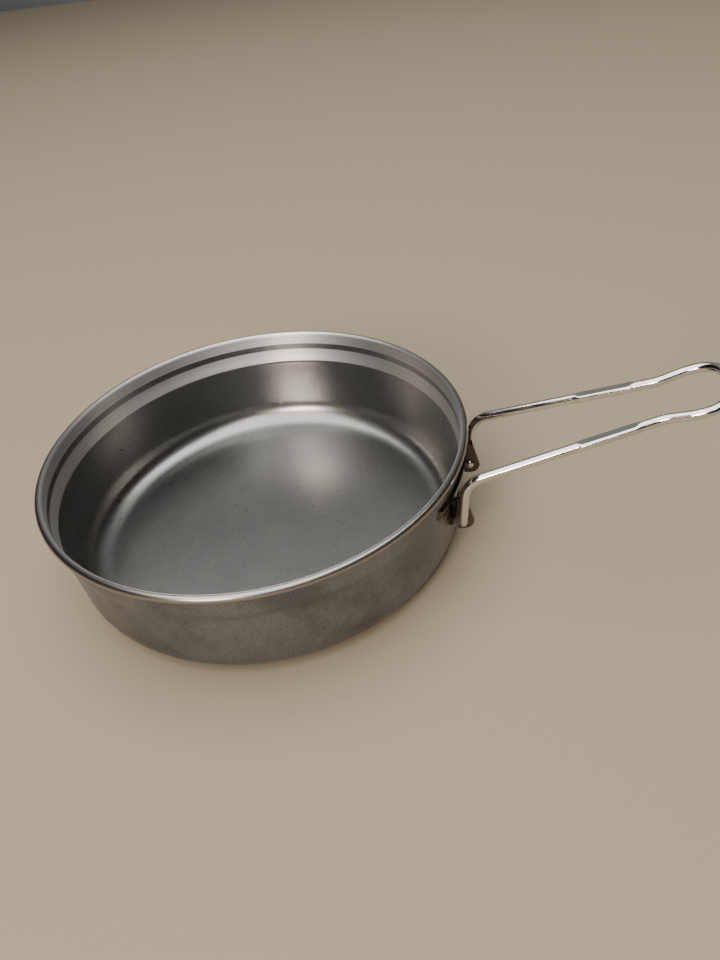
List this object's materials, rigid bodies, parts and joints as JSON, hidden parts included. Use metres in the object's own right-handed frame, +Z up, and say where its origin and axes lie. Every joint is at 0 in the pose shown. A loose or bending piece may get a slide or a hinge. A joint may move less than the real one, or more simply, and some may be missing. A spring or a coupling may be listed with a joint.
{
  "type": "camping frying pan",
  "caption": "Shallow round sheet-metal camping pan with a rolled rim, a stepped collar and a folding bent-wire handle on a welded bracket.",
  "frame": {"origin": "centre of the underside of the flat base", "axes": "+Z up through the open mouth, +X from the pan's axis towards the handle, +Y to the left of the handle seen from above with the handle pointing away"},
  "size_m": [0.2124, 0.14, 0.0594],
  "materials": {
    "titanium_sheet": "satin",
    "bracket_plate": "polished",
    "handle_wire": "polished"
  },
  "bodies": {
    "pan": {"pan_shell": "titanium_sheet", "handle_bracket": "bracket_plate"},
    "handle": {"handle_wire": "handle_wire"}
  },
  "joints": [
    {"name": "handle_fold", "type": "hinge", "parent": "pan", "child": "handle", "pos_m": [0.06895, 0, 0.0175], "axis": [0, 1, 0], "range_deg": [-4.5, 183]}
  ]
}
